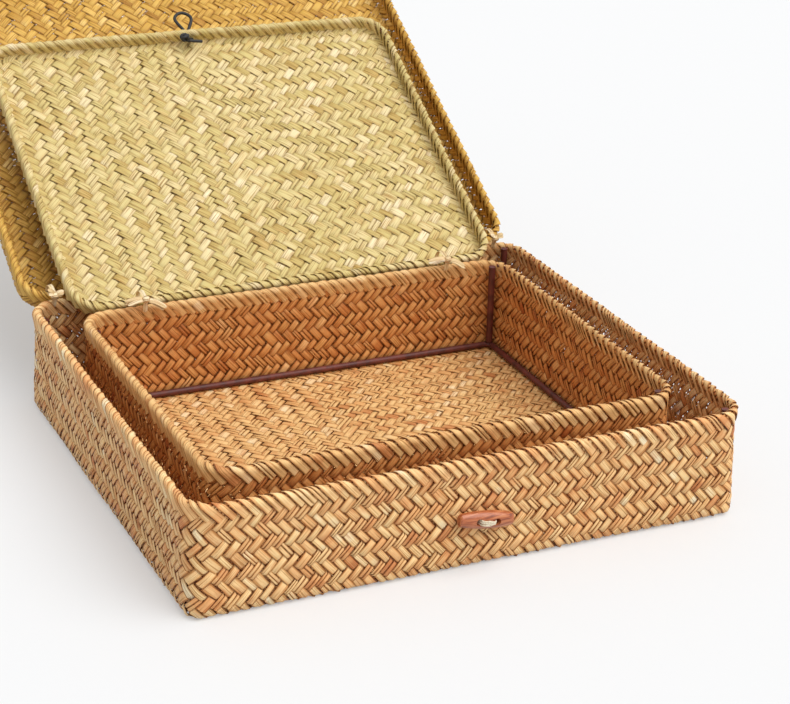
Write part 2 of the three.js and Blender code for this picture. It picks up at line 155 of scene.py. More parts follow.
for lid_side, loop_reach in LOOP_REACHES.items():
    hinge = joint_places[lid_side + "_lid_hinge"]
    skirt = BOX_DEPTHS[lid_side] + HINGE_OFFSET
    knot_out = skirt - LOOP_KNOT_DEPTH
    bend_start = skirt + loop_reach - ELASTIC_DIAMETER / 2 - LOOP_BEND
    half_route = [
        (ELASTIC_SPACING, skirt - 7.8, ELASTIC_HEIGHT - 0.6),
        (ELASTIC_SPACING, skirt - 6.4, ELASTIC_HEIGHT),
        (ELASTIC_SPACING, skirt - 3.2, ELASTIC_HEIGHT),
        (ELASTIC_SPACING, skirt + 2.2, ELASTIC_HEIGHT),
        (LOOP_BEND, bend_start, ELASTIC_HEIGHT - 2),
        (LOOP_BEND * 0.71, bend_start + LOOP_BEND * 0.71, ELASTIC_HEIGHT - 2.7),
        (0, bend_start + LOOP_BEND, ELASTIC_HEIGHT - 3),
    ]
    route = half_route + [(-x, y, z) for x, y, z in half_route[-2::-1]]
    knot_place = (-LOOP_KNOT_SHIFT, knot_out, LOOP_KNOT_HEIGHT)
    route = [knot_place] + route + [knot_place]
    route = [open_lid(hinge, out, across, deep) for across, out, deep in route]
    route = smooth_route(route, ROUTE_POINTS)
    loop = cord_curve(lid_side + "_elastic_loop", route, ELASTIC_DIAMETER)
    loop.data.materials.append(elastic)

    knot_route = []
    for step in range(41):
        turn = step / 40 * 2 * math.pi * KNOT_TURNS
        across = 2.3 * math.cos(turn) + 0.5 * math.cos(2.7 * turn) - LOOP_KNOT_SHIFT
        out = knot_out - 0.4 + 1.4 * math.cos(1.5 * turn)
        deep = LOOP_KNOT_HEIGHT + 1.7 * math.sin(turn)
        knot_route.append((across, out, deep))
    across, out, deep = knot_route[-1]
    knot_route += [(across + 2, out - 0.6, deep), (across + 7, out - 1.0, deep + 0.6)]
    knot_route += [(across + 12, out - 0.8, deep + 1.6)]
    knot_route = [open_lid(hinge, out, across, deep) for across, out, deep in knot_route]
    knot = cord_curve(lid_side + "_elastic_knot", knot_route, ELASTIC_DIAMETER)
    knot.data.materials.append(elastic)

    for piece in (loop, knot):
        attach(piece, lid_side + "_lid")
    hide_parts(lid_side + "_closing_loop")
    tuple(route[0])

# The studio
# A pale table, a white surround that lights from all round, and one wide soft lamp far off,
# in front, above and to the right.
FLOOR_SIZE = 8.0
TABLE_COLOUR = (0.56, 0.565, 0.57, 1)
TABLE_GLOW = 0.32
SURROUND_STRENGTH = 0.55
LAMP_STRENGTH = 2.2
LAMP_WIDTH = math.radians(60)
LAMP_TURN = (math.radians(32), 0, math.radians(36))


def seen_rays(nodes, link):
    """One where the eye sees a surface straight, by reflection or through glass, and nought elsewhere."""
    rays = nodes.new("ShaderNodeLightPath")
    total = rays.outputs["Is Camera Ray"]
    for name in ("Is Glossy Ray", "Is Transmission Ray"):
        either = nodes.new("ShaderNodeMath")
        either.operation = "MAXIMUM"
        link(total, either.inputs[0])
        link(rays.outputs[name], either.inputs[1])
        total = either.outputs[0]
    return total


bpy.ops.mesh.primitive_plane_add(size=FLOOR_SIZE, location=(0, 0, 0))
table = bpy.context.object
table.name = "table"
table_white, shader, nodes, link = new_material("table_white")
glow = nodes.new("ShaderNodeMath")
glow.operation = "MULTIPLY"
glow.inputs[1].default_value = TABLE_GLOW
shader.inputs["Base Color"].default_value = TABLE_COLOUR
shader.inputs["Roughness"].default_value = 0.9
shader.inputs["Specular IOR Level"].default_value = 0.1
shader.inputs["Emission Color"].default_value = (1, 1, 1, 1)
link(seen_rays(nodes, link), glow.inputs[0])
link(glow.outputs[0], shader.inputs["Emission Strength"])
table.data.materials.append(table_white)

world = bpy.data.worlds.new("studio")
bpy.context.scene.world = world
world.use_nodes = True
surround = world.node_tree.nodes["Background"]
seen_white = world.node_tree.nodes.new("ShaderNodeBackground")
seen_white.inputs["Color"].default_value = (1, 1, 1, 1)
seen_white.inputs["Strength"].default_value = 1.0
surround.inputs["Color"].default_value = (1, 1, 1, 1)
surround.inputs["Strength"].default_value = SURROUND_STRENGTH
white_mix = world.node_tree.nodes.new("ShaderNodeMixShader")
link = world.node_tree.links.new
link(seen_rays(world.node_tree.nodes, link), white_mix.inputs[0])
link(surround.outputs[0], white_mix.inputs[1])
link(seen_white.outputs[0], white_mix.inputs[2])
link(white_mix.outputs[0], world.node_tree.nodes["World Output"].inputs["Surface"])

lamp = bpy.data.objects.new("soft_lamp", bpy.data.lights.new("soft_lamp", "SUN"))
lamp.data.energy = LAMP_STRENGTH
lamp.data.angle = LAMP_WIDTH
lamp.rotation_euler = LAMP_TURN
bpy.context.scene.collection.objects.link(lamp)

# The straw
# Flat dried stems, about five millimetres wide and under one thick, some of them split lengthwise.
# Their colour changes from stem to stem, and fine fibres run along each one.
STRAW_FILL = 0.95
STRAW_THICKNESS = 0.65
STRAW_RISE = 1.1
TONE_SPREAD = 0.14
TONE_CHANGE = 0.1
ROLL_SPREAD = 0.03
SPLIT_SHARES = (0.35, 0.65)
SPLIT_FILL = 0.9
STEM_SMOOTHING = math.radians(50)
FLAT_SECTION = ((-0.5, 0.0), (0.0, 0.5), (0.5, 0.0), (0.0, -0.5))
BENT_SECTION = ((-0.5, 0.0), (-0.22, 0.42), (0.22, 0.42), (0.5, 0.0), (0.22, -0.42), (-0.22, -0.42))
# The tints below paint shade into the straw: darker at each stem's edges, redder and darker down its sides,
# and darker where it dips under its neighbours.
CLEAR_TINT = (1.0, 1.0, 1.0, 1.0)
FLANK_SHADE_TINT = (0.78, 0.58, 0.4, 1.0)
EDGE_SHADE_TINT = (0.13, 0.045, 0.012, 1.0)
DIP_SHADE_TINT = (0.16, 0.06, 0.018, 1.0)
DARK_FIBRE_TINT = (0.56, 0.4, 0.25, 1.0)
PALE_FIBRE_TINT = (1.08, 1.08, 1.06, 1.0)


def fibre_and_shade_group():
    """Fibres, blotches, and painted shade at a stem's edges, down its sides and at its dips, from its own
    map, seed and rise.
    """
    group = bpy.data.node_groups.new("straw_fibres_and_shade", "ShaderNodeTree")
    sockets = group.interface
    sockets.new_socket("Stem Colour", in_out="INPUT", socket_type="NodeSocketColor")
    sockets.new_socket("Blotch Colour", in_out="INPUT", socket_type="NodeSocketColor")
    sockets.new_socket("Edge Shade", in_out="INPUT", socket_type="NodeSocketFloat")
    sockets.new_socket("Colour", in_out="OUTPUT", socket_type="NodeSocketColor")
    sockets.new_socket("Roughness", in_out="OUTPUT", socket_type="NodeSocketFloat")
    sockets.new_socket("Height", in_out="OUTPUT", socket_type="NodeSocketFloat")
    nodes, link = group.nodes, group.links.new
    into, out = nodes.new("NodeGroupInput"), nodes.new("NodeGroupOutput")

    def feed(socket, value):
        if isinstance(value, (int, float, tuple)):
            socket.default_value = value
        else:
            link(value, socket)

    def math_node(operation, first, second):
        node = nodes.new("ShaderNodeMath")
        node.operation = operation
        feed(node.inputs[0], first)
        feed(node.inputs[1], second)
        return node.outputs[0]

    def streaks(fine_across, fine_along, seed_step, detail):
        place = nodes.new("ShaderNodeCombineXYZ")
        link(math_node("ADD", math_node("MULTIPLY", across, fine_across), seed), place.inputs[0])
        link(math_node("MULTIPLY", along, fine_along), place.inputs[1])
        link(math_node("MULTIPLY", stem, seed_step), place.inputs[2])
        noise = nodes.new("ShaderNodeTexNoise")
        noise.inputs["Scale"].default_value = 1
        noise.inputs["Detail"].default_value = detail
        link(place.outputs[0], noise.inputs["Vector"])
        return noise.outputs["Fac"]

    def spread(value, low, high, to_low, to_high):
        node = nodes.new("ShaderNodeMapRange")
        node.interpolation_type = "SMOOTHSTEP"
        for name, number in (("From Min", low), ("From Max", high), ("To Min", to_low), ("To Max", to_high)):
            node.inputs[name].default_value = number
        link(value, node.inputs["Value"])
        return node.outputs["Result"]

    def mixed(mode, share, first, second):
        node = nodes.new("ShaderNodeMix")
        node.data_type = "RGBA"
        node.blend_type = mode
        colours = [s for s in node.inputs if s.type == "RGBA"]
        feed(node.inputs["Factor"], share)
        feed(colours[0], first)
        feed(colours[1], second)
        return [s for s in node.outputs if s.type == "RGBA"][0]

    stem_map = nodes.new("ShaderNodeUVMap")
    stem_map.uv_map = "straw_uv"
    split_map = nodes.new("ShaderNodeSeparateXYZ")
    link(stem_map.outputs[0], split_map.inputs[0])
    across, along = split_map.outputs[0], split_map.outputs[1]
    stem_seed = nodes.new("ShaderNodeAttribute")
    stem_seed.attribute_name = "straw_seed"
    stem = stem_seed.outputs["Fac"]
    seed = math_node("MULTIPLY", stem, 191)

    fibres = streaks(9, 0.05, 61, 4)
    blotches = streaks(1.2, 0.06, 37, 2)
    edge_shade_noise = streaks(0.7, 0.1, 53, 1)
    # Painted shade: each stem darkens towards its edges, more at some places along it than at others.
    edge = math_node("MULTIPLY", math_node("ABSOLUTE", math_node("SUBTRACT", across, 0.5), 0), 2)
    shade = into.outputs["Edge Shade"]
    edge_shade_share = spread(edge, 0.68, 0.97, 0.0, 1.0)
    edge_shade_share = math_node("MULTIPLY", edge_shade_share, spread(edge_shade_noise, 0.35, 0.65, 0.4, 1.0))
    edge_shade_share = math_node("MULTIPLY", edge_shade_share, shade)
    edge_shade_tint = mixed("MIX", edge_shade_share, CLEAR_TINT, EDGE_SHADE_TINT)
    # Painted shade: a wide, redder darkening down each side of the stem.
    flank_shade_share = math_node("MULTIPLY", spread(edge, 0.35, 0.95, 0.0, 1.0), shade)
    flank_shade_tint = mixed("MIX", flank_shade_share, CLEAR_TINT, FLANK_SHADE_TINT)
    # Painted shade where the stem dips low under its neighbours.
    raised = nodes.new("ShaderNodeAttribute")
    raised.attribute_name = "straw_rise"
    dip_shade_share = math_node("MULTIPLY", spread(raised.outputs["Fac"], 0.15, 0.85, 1.0, 0.0), shade)
    dip_shade_tint = mixed("MIX", dip_shade_share, CLEAR_TINT, DIP_SHADE_TINT)
    fibre_tint = mixed("MIX", spread(fibres, 0.27, 0.54, 0.0, 1.0), DARK_FIBRE_TINT, PALE_FIBRE_TINT)
    blotch_share = spread(blotches, 0.5, 0.76, 0.0, 0.5)
    stained = mixed("MIX", blotch_share, into.outputs["Stem Colour"], into.outputs["Blotch Colour"])
    streaked = mixed("MULTIPLY", 1.0, stained, fibre_tint)
    shaded = mixed("MULTIPLY", 1.0, mixed("MULTIPLY", 1.0, edge_shade_tint, flank_shade_tint), dip_shade_tint)
    link(mixed("MULTIPLY", 1.0, streaked, shaded), out.inputs["Colour"])
    link(spread(fibres, 0.3, 0.7, 0.62, 0.44), out.inputs["Roughness"])
    link(math_node("SUBTRACT", fibres, math_node("MULTIPLY", edge, 0.2)), out.inputs["Height"])
    return group


straw_fibres_and_shade = fibre_and_shade_group()


def straw_material(name, stem_colours, blotch_colour, edge_shade=1.0):
    """Straw whose stems range over the given colours, with painted shade as strong as edge_shade."""
    material, shader, nodes, link = new_material(name)
    tone = nodes.new("ShaderNodeAttribute")
    tone.attribute_name = "straw_tone"
    ramp = nodes.new("ShaderNodeValToRGB")
    stops = ramp.color_ramp.elements
    for _ in stem_colours[2:]:
        stops.new(0.5)
    for place, (stop, stem_colour) in enumerate(zip(stops, stem_colours)):
        stop.position = place / (len(stem_colours) - 1)
        stop.color = colour(*stem_colour)
    # The group paints the fibres and blotches, and the shade at each stem's edges, sides and dips.
    fibres = nodes.new("ShaderNodeGroup")
    fibres.node_tree = straw_fibres_and_shade
    fibres.inputs["Blotch Colour"].default_value = colour(*blotch_colour)
    fibres.inputs["Edge Shade"].default_value = edge_shade
    bump = nodes.new("ShaderNodeBump")
    bump.inputs["Strength"].default_value = 0.5
    bump.inputs["Distance"].default_value = 0.0003
    link(tone.outputs["Fac"], ramp.inputs["Fac"])
    link(ramp.outputs["Color"], fibres.inputs["Stem Colour"])
    link(fibres.outputs["Colour"], shader.inputs["Base Color"])
    link(fibres.outputs["Roughness"], shader.inputs["Roughness"])
    link(fibres.outputs["Height"], bump.inputs["Height"])
    link(bump.outputs["Normal"], shader.inputs["Normal"])
    shader.inputs["Specular IOR Level"].default_value = 0.2
    return material


def new_bundle():
    """Stems that are woven together as one mesh."""
    return {"points": [], "faces": [], "maps": [], "tones": [], "seeds": [], "rises": [], "count": 0}


def add_rings(bundle, rings, section, tones, seed, rises=1.0):
    """Joins rings of section points into one closed stem, with a tone and a rise for each ring."""
    count, sides = rings.shape[:2]
    first = bundle["count"]
    start = first + sides * np.arange(count - 1)[:, None]
    corner = start + np.arange(sides)
    after = start + (np.arange(sides) + 1) % sides
    walls = np.stack([corner, after, after + sides, corner + sides], axis=2).reshape(-1, 4)
    fan = np.array([[0, side, side + 1, side + 2] for side in range(1, sides - 1, 2)])
    caps = np.vstack([first + fan[:, ::-1], first + sides * (count - 1) + fan])
    middle = rings.mean(axis=1)
    run = np.r_[0, np.cumsum(np.linalg.norm(np.diff(middle, axis=0), axis=1))]
    across = [place + 0.5 for place, _ in section]
    bundle["points"].append(rings.reshape(-1, 3))
    bundle["faces"].append(np.vstack([walls, caps]))
    bundle["maps"].append(np.stack([np.tile(across, count), np.repeat(run, sides)], axis=1))
    bundle["tones"].append(np.repeat(np.broadcast_to(tones, count), sides))
    bundle["rises"].append(np.repeat(np.broadcast_to(rises, count), sides))
    bundle["seeds"].append(np.full(sides * count, seed))
    bundle["count"] += sides * count


def lay_stem(bundle, surface, path, lean, width, tones, seed, section, roll):
    """One flat stem on a surface, along a path of places along it, up it and out from it."""
    along, up, lift = path
    rings = []
    for across, crown in section:
        aside = across * width / math.hypot(1, lean)
        height = lift + crown * STRAW_THICKNESS + across * width * math.tan(roll)
        rings.append(surface(along + aside, up - lean * aside, height))
    # How high each ring rides, kept for the painted shade where the stem dips under its neighbours.
    rises = np.abs(lift) / STRAW_RISE if section is FLAT_SECTION else 1.0
    add_rings(bundle, np.stack(rings, axis=1), section, tones, seed, rises)


def lay_straw(bundle, rng, surface, path, lean, width, paleness, splits, section=FLAT_SECTION, roll=0.0):
    """A straw whose tone changes along it, whole or split into two narrower stems."""
    along, up, lift = path
    changes = np.repeat(rng.normal(0, TONE_CHANGE, len(up) // 4 + 1), 4)[:len(up)]
    tones = np.clip(rng.normal(paleness, TONE_SPREAD) + changes, 0, 1)
    roll = roll + rng.normal(0, ROLL_SPREAD)
    if rng.random() > splits:
        lay_stem(bundle, surface, path, lean, width, tones, rng.random(), section, roll)
        return
    share = rng.uniform(*SPLIT_SHARES)
    for start, part in ((-0.5, share), (share - 0.5, 1 - share)):
        aside = (start + part / 2) * width / math.hypot(1, lean)
        stem_path = (along + aside, up - lean * aside, lift)
        split_width = part * width * SPLIT_FILL
        lay_stem(bundle, surface, stem_path, lean, split_width, tones, rng.random(), section, roll)


def finish_weave(bundle, name, place, material):
    """The bundle as a mesh piece, put in place, with crisp stem edges."""
    points = place(np.vstack(bundle["points"])) * MM
    faces = np.vstack(bundle["faces"])
    mesh = bpy.data.meshes.new(name)
    mesh.from_pydata(points.tolist(), [], faces.tolist())
    corners = np.zeros(len(mesh.loops), int)
    mesh.loops.foreach_get("vertex_index", corners)
    stem_map = mesh.uv_layers.new(name="straw_uv")
    stem_map.data.foreach_set("uv", np.vstack(bundle["maps"])[corners].ravel())
    for kind in ("tone", "seed", "rise"):
        values = mesh.attributes.new("straw_" + kind, "FLOAT", "POINT")
        values.data.foreach_set("value", np.concatenate(bundle[kind + "s"]))
    mesh.materials.append(material)
    piece = bpy.data.objects.new(name, mesh)
    bpy.context.scene.collection.objects.link(piece)
    bpy.ops.object.select_all(action="DESELECT")
    bpy.context.view_layer.objects.active = piece
    piece.select_set(True)
    bpy.ops.object.shade_smooth_by_angle(angle=STEM_SMOOTHING)
    piece.select_set(False)
    return piece


# The woven trays
# Each box and each lid is one tray: a flat woven panel whose straws turn up into woven walls.
# The straws go over two and under two, so the twill runs in bands that lean one way and then the other.
WALL_INSET = 3.2
WALL_BELOW_CREST = 5.0
FOOT_BEND = 3.6
WEAVE_SLACK = 0.15
WEAVE_HALF = STRAW_RISE + STRAW_THICKNESS / 2 + WEAVE_SLACK
PANEL_FILL = 1.06
PANEL_TURN = 0.0
HEM = 4.0
CROSSINGS = np.arange(-90, 91)
CROSSING_STEPS = (0.15, 0.85)
FLOAT_END = 0.82
BAND = 7.35
WALL_PITCH = 6.4
WALL_LEAN = WALL_PITCH / BAND
WOBBLE = 0.3
SWAY = 0.4
SWAY_LENGTHS = (6, 14)
SWAY_STARTS = (0, 6.3)
LIFT_SPREAD = 0.06


def straw_edges(rng, length, pitch, start, jitter, drift, turnabout):
    """Edges of straws laid side by side, thick and thin ends by turns, each a little off its even place."""
    count = 2 * round(length / pitch / 2)
    number = np.arange(count)
    waves = np.sin(2 * math.pi * (number / count * round(count / 19) + rng.random()))
    shift = drift * waves + jitter * rng.uniform(-0.5, 0.5, count) + turnabout * (-1.0) ** number
    return {"places": (number + shift) * length / count + start, "length": length}


def edge_at(edges, index):
    """The edge with the given number, counted on past the end of the length."""
    count = len(edges["places"])
    return edges["places"][index % count] + index // count * edges["length"]


def straw_span(edges, index, lean):
    """The middle and the width of a straw between two edges."""
    left, right = edge_at(edges, index), edge_at(edges, index + 1)
    return (left + right) / 2, (right - left) / math.hypot(1, lean) * STRAW_FILL


def twill_path(sets, side, index, lean, low, high, level_from):
    """A straw's places along and up the weave and its rise there: over two straws, then under two.
    The bands of the twill lie level past level_from, and stand upright before it."""
    middle, width = straw_span(sets[side], index, lean)
    others = index + side * CROSSINGS
    ends = side * (edge_at(sets[-side], others + np.array([[0], [1]])) - middle) / (2 * abs(lean))
    lower, upper = ends.min(axis=0), ends.max(axis=0)
    across = middle + lean * (lower + upper) / 2
    right, left = (index, others) if side > 0 else (others, index)
    right_over = np.where(across > level_from, left - right, left + right) % 4 < 2
    over = np.where(right_over == (side > 0), 1.0, -1.0)
    before = np.where(np.roll(over, 1) == over, 1, FLOAT_END)
    after = np.where(np.roll(over, -1) == over, 1, FLOAT_END)
    up = np.concatenate([lower + (upper - lower) * step for step in CROSSING_STEPS])
    rise = np.concatenate([over * before, over * after]) * STRAW_RISE
    order = np.argsort(up)
    up, rise = up[order], rise[order]
    woven = (up >= low) & (up <= high)
    return middle + lean * up[woven], up[woven], rise[woven], width


def swayed(rng, places, up):
    """Places along the weave, swung a little to and fro on the way up."""
    return places + SWAY * np.sin(up / rng.uniform(*SWAY_LENGTHS) + rng.uniform(*SWAY_STARTS))


def tray_sizes(width, depth, height, corner, foot_corner, border, place, seed):
    """The sizes of one tray, all to the middle of its weave, in millimetres, and its wall straws."""
    half_width, half_depth = width / 2 - WALL_INSET, depth / 2 - WALL_INSET
    radius = corner - WALL_INSET
    lap = 4 * (half_width + half_depth - 2 * radius) + 2 * math.pi * radius
    rng = np.random.default_rng(seed)
    border_line = FOOT_BEND * (math.pi / 2 - 1) + height - border - WEAVE_HALF
    start = 2 * WALL_LEAN * border_line - 1.5 * WALL_PITCH
    straws = {1: straw_edges(rng, lap, WALL_PITCH, 0.0, 0.26, 0.15, 0.06),
              -1: straw_edges(rng, lap, WALL_PITCH, start, 0.2, 0.15, 0.05)}
    return {"half": (half_width, half_depth), "corner": radius, "foot_corner": foot_corner - WALL_INSET,
            "height": height, "border": border, "border_line": border_line, "lap": lap, "straws": straws,
            "place": place, "rng": rng}


def corner_reach(rim_radius, radius, turn):
    """How far a corner of a smaller radius stands from the middle of the rim's corner."""
    flat = rim_radius / np.maximum(np.sin(turn), np.cos(turn))
    aslant = turn - math.pi / 4
    offset = (rim_radius - radius) * math.sqrt(2)
    bend = offset * np.cos(aslant) + np.sqrt(np.maximum(radius**2 - (offset * np.sin(aslant))**2, 0))
    bend_share = math.pi / 4 - np.arctan((rim_radius - radius) / rim_radius)
    return np.where(np.abs(aslant) <= bend_share, bend, flat)


def walk_round(tray, along, radius):
    """Places on the wall's middle line and the outward direction there, from the front left corner."""
    rim_radius = tray["corner"]
    bend = rim_radius * math.pi / 2
    along = np.mod(along, tray["lap"])
    places = np.zeros((len(along), 2))
    outward = np.zeros((len(along), 2))
    start = 0.0
    for side in range(4):
        reach, depth = tray["half"][side % 2], tray["half"][1 - side % 2]
        straight = 2 * (reach - rim_radius)
        gone = along - start
        here = (gone >= 0) & (gone < straight + bend)
        turn = np.clip((gone - straight) / rim_radius, 0, math.pi / 2)
        out = np.stack([np.sin(turn), -np.cos(turn)], axis=1)
        place = out * corner_reach(rim_radius, radius, turn)[:, None]
        place += np.array([rim_radius - reach, rim_radius - depth])
        place[:, 0] += np.clip(gone, 0, straight)
        cos, sin = round(math.cos(side * math.pi / 2)), round(math.sin(side * math.pi / 2))
        quarter = np.array([[cos, sin], [-sin, cos]])
        places[here] = (place @ quarter)[here]
        outward[here] = (out @ quarter)[here]
        start += straight + bend
    waves = np.sin(along / tray["lap"] * 10 * math.pi) + np.sin(along / tray["lap"] * 26 * math.pi + 1)
    return places + outward * (WOBBLE / 2 * waves)[:, None], outward


def wall_surface(tray):
    """Points on a wall: along it, up from the foot's bend, and out from its middle."""
    def surface(along, up, lift):
        turn = np.clip(up / FOOT_BEND, 0, math.pi / 2)
        inset = FOOT_BEND * (1 - np.sin(turn)) + np.maximum(-up, 0)
        rise = FOOT_BEND * (1 - np.cos(turn)) + np.maximum(up - FOOT_BEND * math.pi / 2, 0)
        share = np.clip((WEAVE_HALF + rise) / (tray["height"] - tray["border"]), 0, 1)
        radius = tray["foot_corner"] + (tray["corner"] - tray["foot_corner"]) * share
        places, outward = walk_round(tray, along, radius)
        flat = places + outward * (np.sin(turn) * lift - inset)[:, None]
        return np.column_stack([flat, WEAVE_HALF + rise - np.cos(turn) * lift])

    return surface


def weave_walls(tray, name, material):
    """The walls: two sets of straws that lean both ways round the tray."""
    rng, bundle = tray["rng"], new_bundle()
    top = tray["border_line"] + tray["border"] - WALL_BELOW_CREST
    # The straws of one lean are a paler tone than those of the other: a painted sheen, as light catches one
    # lean more.
    for side, paleness, splits in ((1, 0.42, 0.4), (-1, 0.58, 0.12)):
        lean = side * WALL_LEAN
        for index in range(len(tray["straws"][side]["places"])):
            along, up, rise, width = twill_path(tray["straws"], side, index, lean, -HEM, top, -math.inf)
            along = swayed(rng, along, up)
            lift = rise + rng.normal(0, LIFT_SPREAD)
            lay_straw(bundle, rng, wall_surface(tray), (along, up, lift), lean, width, paleness, splits)
    return finish_weave(bundle, name, tray["place"], material)


def weave_panel(tray, pitch, name, material):
    """The flat panel. Its bands run front to back on the left and along the width on the right."""
    rng, bundle = tray["rng"], new_bundle()
    half_width, half_depth = (half - FOOT_BEND + 1.0 for half in tray["half"])
    corner = tray["foot_corner"]
    reach = half_width + half_depth
    sets = {side: straw_edges(rng, 2 * reach, pitch, -reach, 0.2, 0.3, 0.09) for side in (1, -1)}

    def surface(x, y, lift):
        return np.column_stack([x, y, WEAVE_HALF + lift])

    # The straws of one lean are a paler tone than those of the other: a painted sheen, as light catches one
    # lean more.
    for side, paleness, splits in ((1, 0.62, 0.12), (-1, 0.36, 0.12)):
        for index in range(len(sets[side]["places"])):
            x, y, rise, width = twill_path(sets, side, index, side, -half_depth, half_depth, PANEL_TURN)
            past = np.stack([np.abs(x) - half_width + corner, np.abs(y) - half_depth + corner])
            inside = np.hypot(*np.maximum(past, 0)) <= corner
            if inside.sum() < 4:
                continue
            x, y, lift = x[inside], y[inside], rise[inside] + rng.normal(0, LIFT_SPREAD)
            x = swayed(rng, x, y)
            lay_straw(bundle, rng, surface, (x, y, lift), side, width * PANEL_FILL, paleness, splits)
    return finish_weave(bundle, name, tray["place"], material)


# The folded borders
# At each rim the straws that lean back fold over the wire hoop, side by side, and tuck in below.
# The straws that lean the other way are folded in under them.
FOLD_RADIUS = 2.3
UNDER_FOLD_RADIUS = 1.5
FOLD_TUCK = 0.9
FOLD_TUCK_LENGTH = 7.0
FOLD_INSIDE = 9.0
SHINGLE = math.radians(-13)
SHINGLE_RISE = 0.7
FOLD_STEPS = 18
FOLD_SPLITS = 0.12


def fold_surface(tray, radius):
    """Points over the rim: along it, over it from the outside to the inside, and out from the fold."""
    outside = tray["border"] - FOLD_RADIUS - STRAW_THICKNESS / 2 - SHINGLE_RISE
    length = outside + math.pi * FOLD_RADIUS + FOLD_INSIDE - FOLD_RADIUS
    crest = tray["height"] - FOLD_RADIUS - STRAW_THICKNESS / 2 - SHINGLE_RISE

    def surface(along, run, lift):
        places, outward = walk_round(tray, along, tray["corner"])
        turn = np.clip((run - outside) / FOLD_RADIUS, 0, math.pi)
        past = np.maximum(run - outside - math.pi * FOLD_RADIUS, 0)
        to_end = np.minimum(run, length - run)
        tuck = FOLD_TUCK * np.clip(1 - to_end / FOLD_TUCK_LENGTH, 0, 1)
        reach = np.cos(turn) * (radius + lift - tuck)
        level = crest + np.sin(turn) * (radius + lift) - past - np.maximum(outside - run, 0)
        return np.column_stack([places + outward * reach[:, None], level])

    return surface, length


def fold_border(tray, name, material):
    """The border: straws folded over the rim, shingled, above a layer that leans the other way."""
    rng, bundle = tray["rng"], new_bundle()
    for side, radius, roll, paleness in ((1, UNDER_FOLD_RADIUS, 0.0, 0.3), (-1, FOLD_RADIUS, SHINGLE, 0.55)):
        lean = side * WALL_LEAN
        surface, length = fold_surface(tray, radius)
        run = np.linspace(0, length, FOLD_STEPS)
        for index in range(len(tray["straws"][side]["places"])):
            middle, width = straw_span(tray["straws"][side], index, lean)
            along = middle + lean * (tray["border_line"] + run)
            lift = np.full(len(run), rng.normal(0, 0.05))
            lay_straw(bundle, rng, surface, (along, run, lift), lean, width, paleness, FOLD_SPLITS,
                      BENT_SECTION, roll)
    return finish_weave(bundle, name, tray["place"], material)


def box_place(side):
    """Puts a box's tray where its packed shell stands."""
    low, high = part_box(side + "_rim_border")
    middle = (low + high) / 2 / MM
    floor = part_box(side + "_shell")[0].z / MM
    return lambda points: points + np.array([middle.x, middle.y, floor])


def lid_place(side, height):
    """Puts a lid's tray on its hinge, opened back."""
    hinge = np.array(joint_places[side + "_lid_hinge"]) / MM
    out = np.array([0, math.cos(LID_OPEN_TILT), math.sin(LID_OPEN_TILT)])
    up = np.array([0, -math.sin(LID_OPEN_TILT), math.cos(LID_OPEN_TILT)])

    def place(points):
        from_hinge = points[:, 1] + BOX_DEPTHS[side] / 2 + HINGE_OFFSET
        from_rim = points[:, 2] - height - HINGE_RISE
        flat = np.column_stack([points[:, 0], np.zeros(len(points)), np.zeros(len(points))])
        return hinge + flat + from_hinge[:, None] * out + from_rim[:, None] * up

    return place


def tray_pieces(tray, body, names, shell, border, panel_pitch, panel_material, wall_material):
    """Weaves one tray and its border and sets them on their body."""
    panel = weave_panel(tray, panel_pitch, names[0], panel_material)
    walls = weave_walls(tray, names[1], wall_material)
    fold = fold_border(tray, names[2], panel_material)
    for piece, node in ((panel, shell), (walls, shell), (fold, border)):
        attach(piece, body)
        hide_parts(node)


# The outer box
# The larger tray stands on the table. Its straw is a warm golden tan.
OUTER_STRAW = ((211, 139, 88), (240, 183, 124), (248, 204, 146), (252, 216, 159), (255, 238, 201))
outer_straw = straw_material("outer_straw", OUTER_STRAW, (214, 138, 84), 1.0)
outer_tray = tray_sizes(340, BOX_DEPTHS["outer"], 68, 20, 10, 10, box_place("outer"), 11)
tray_pieces(outer_tray, "outer_box", ("outer_floor_weave", "outer_wall_weave", "outer_rim_fold"),
            "outer_shell", "outer_rim_border", 6.4, outer_straw, outer_straw)

# The inner box
# The smaller tray stands loose inside the larger one. Its floor is as pale as the outer box,
# and its walls are the same straw with painted shade, darker and more orange than the floor.
INNER_FLOOR_STRAW = ((203, 138, 85), (227, 175, 115), (235, 191, 130), (238, 197, 138), (249, 221, 176))
INNER_WALL_SHADED_STRAW = ((176, 100, 51), (205, 138, 78), (215, 152, 91), (215, 157, 94), (239, 190, 132))
inner_floor_straw = straw_material("inner_floor_straw", INNER_FLOOR_STRAW, (214, 146, 92), 0.65)
inner_wall_shaded_straw = straw_material("inner_wall_shaded_straw", INNER_WALL_SHADED_STRAW, (184, 104, 58), 0.9)
inner_tray = tray_sizes(292, BOX_DEPTHS["inner"], 66, 20, 10, 10, box_place("inner"), 23)
tray_pieces(inner_tray, "inner_box", ("inner_floor_weave", "inner_wall_weave", "inner_rim_fold"),
            "inner_shell", "inner_rim_border", 6.1, inner_floor_straw, inner_wall_shaded_straw)

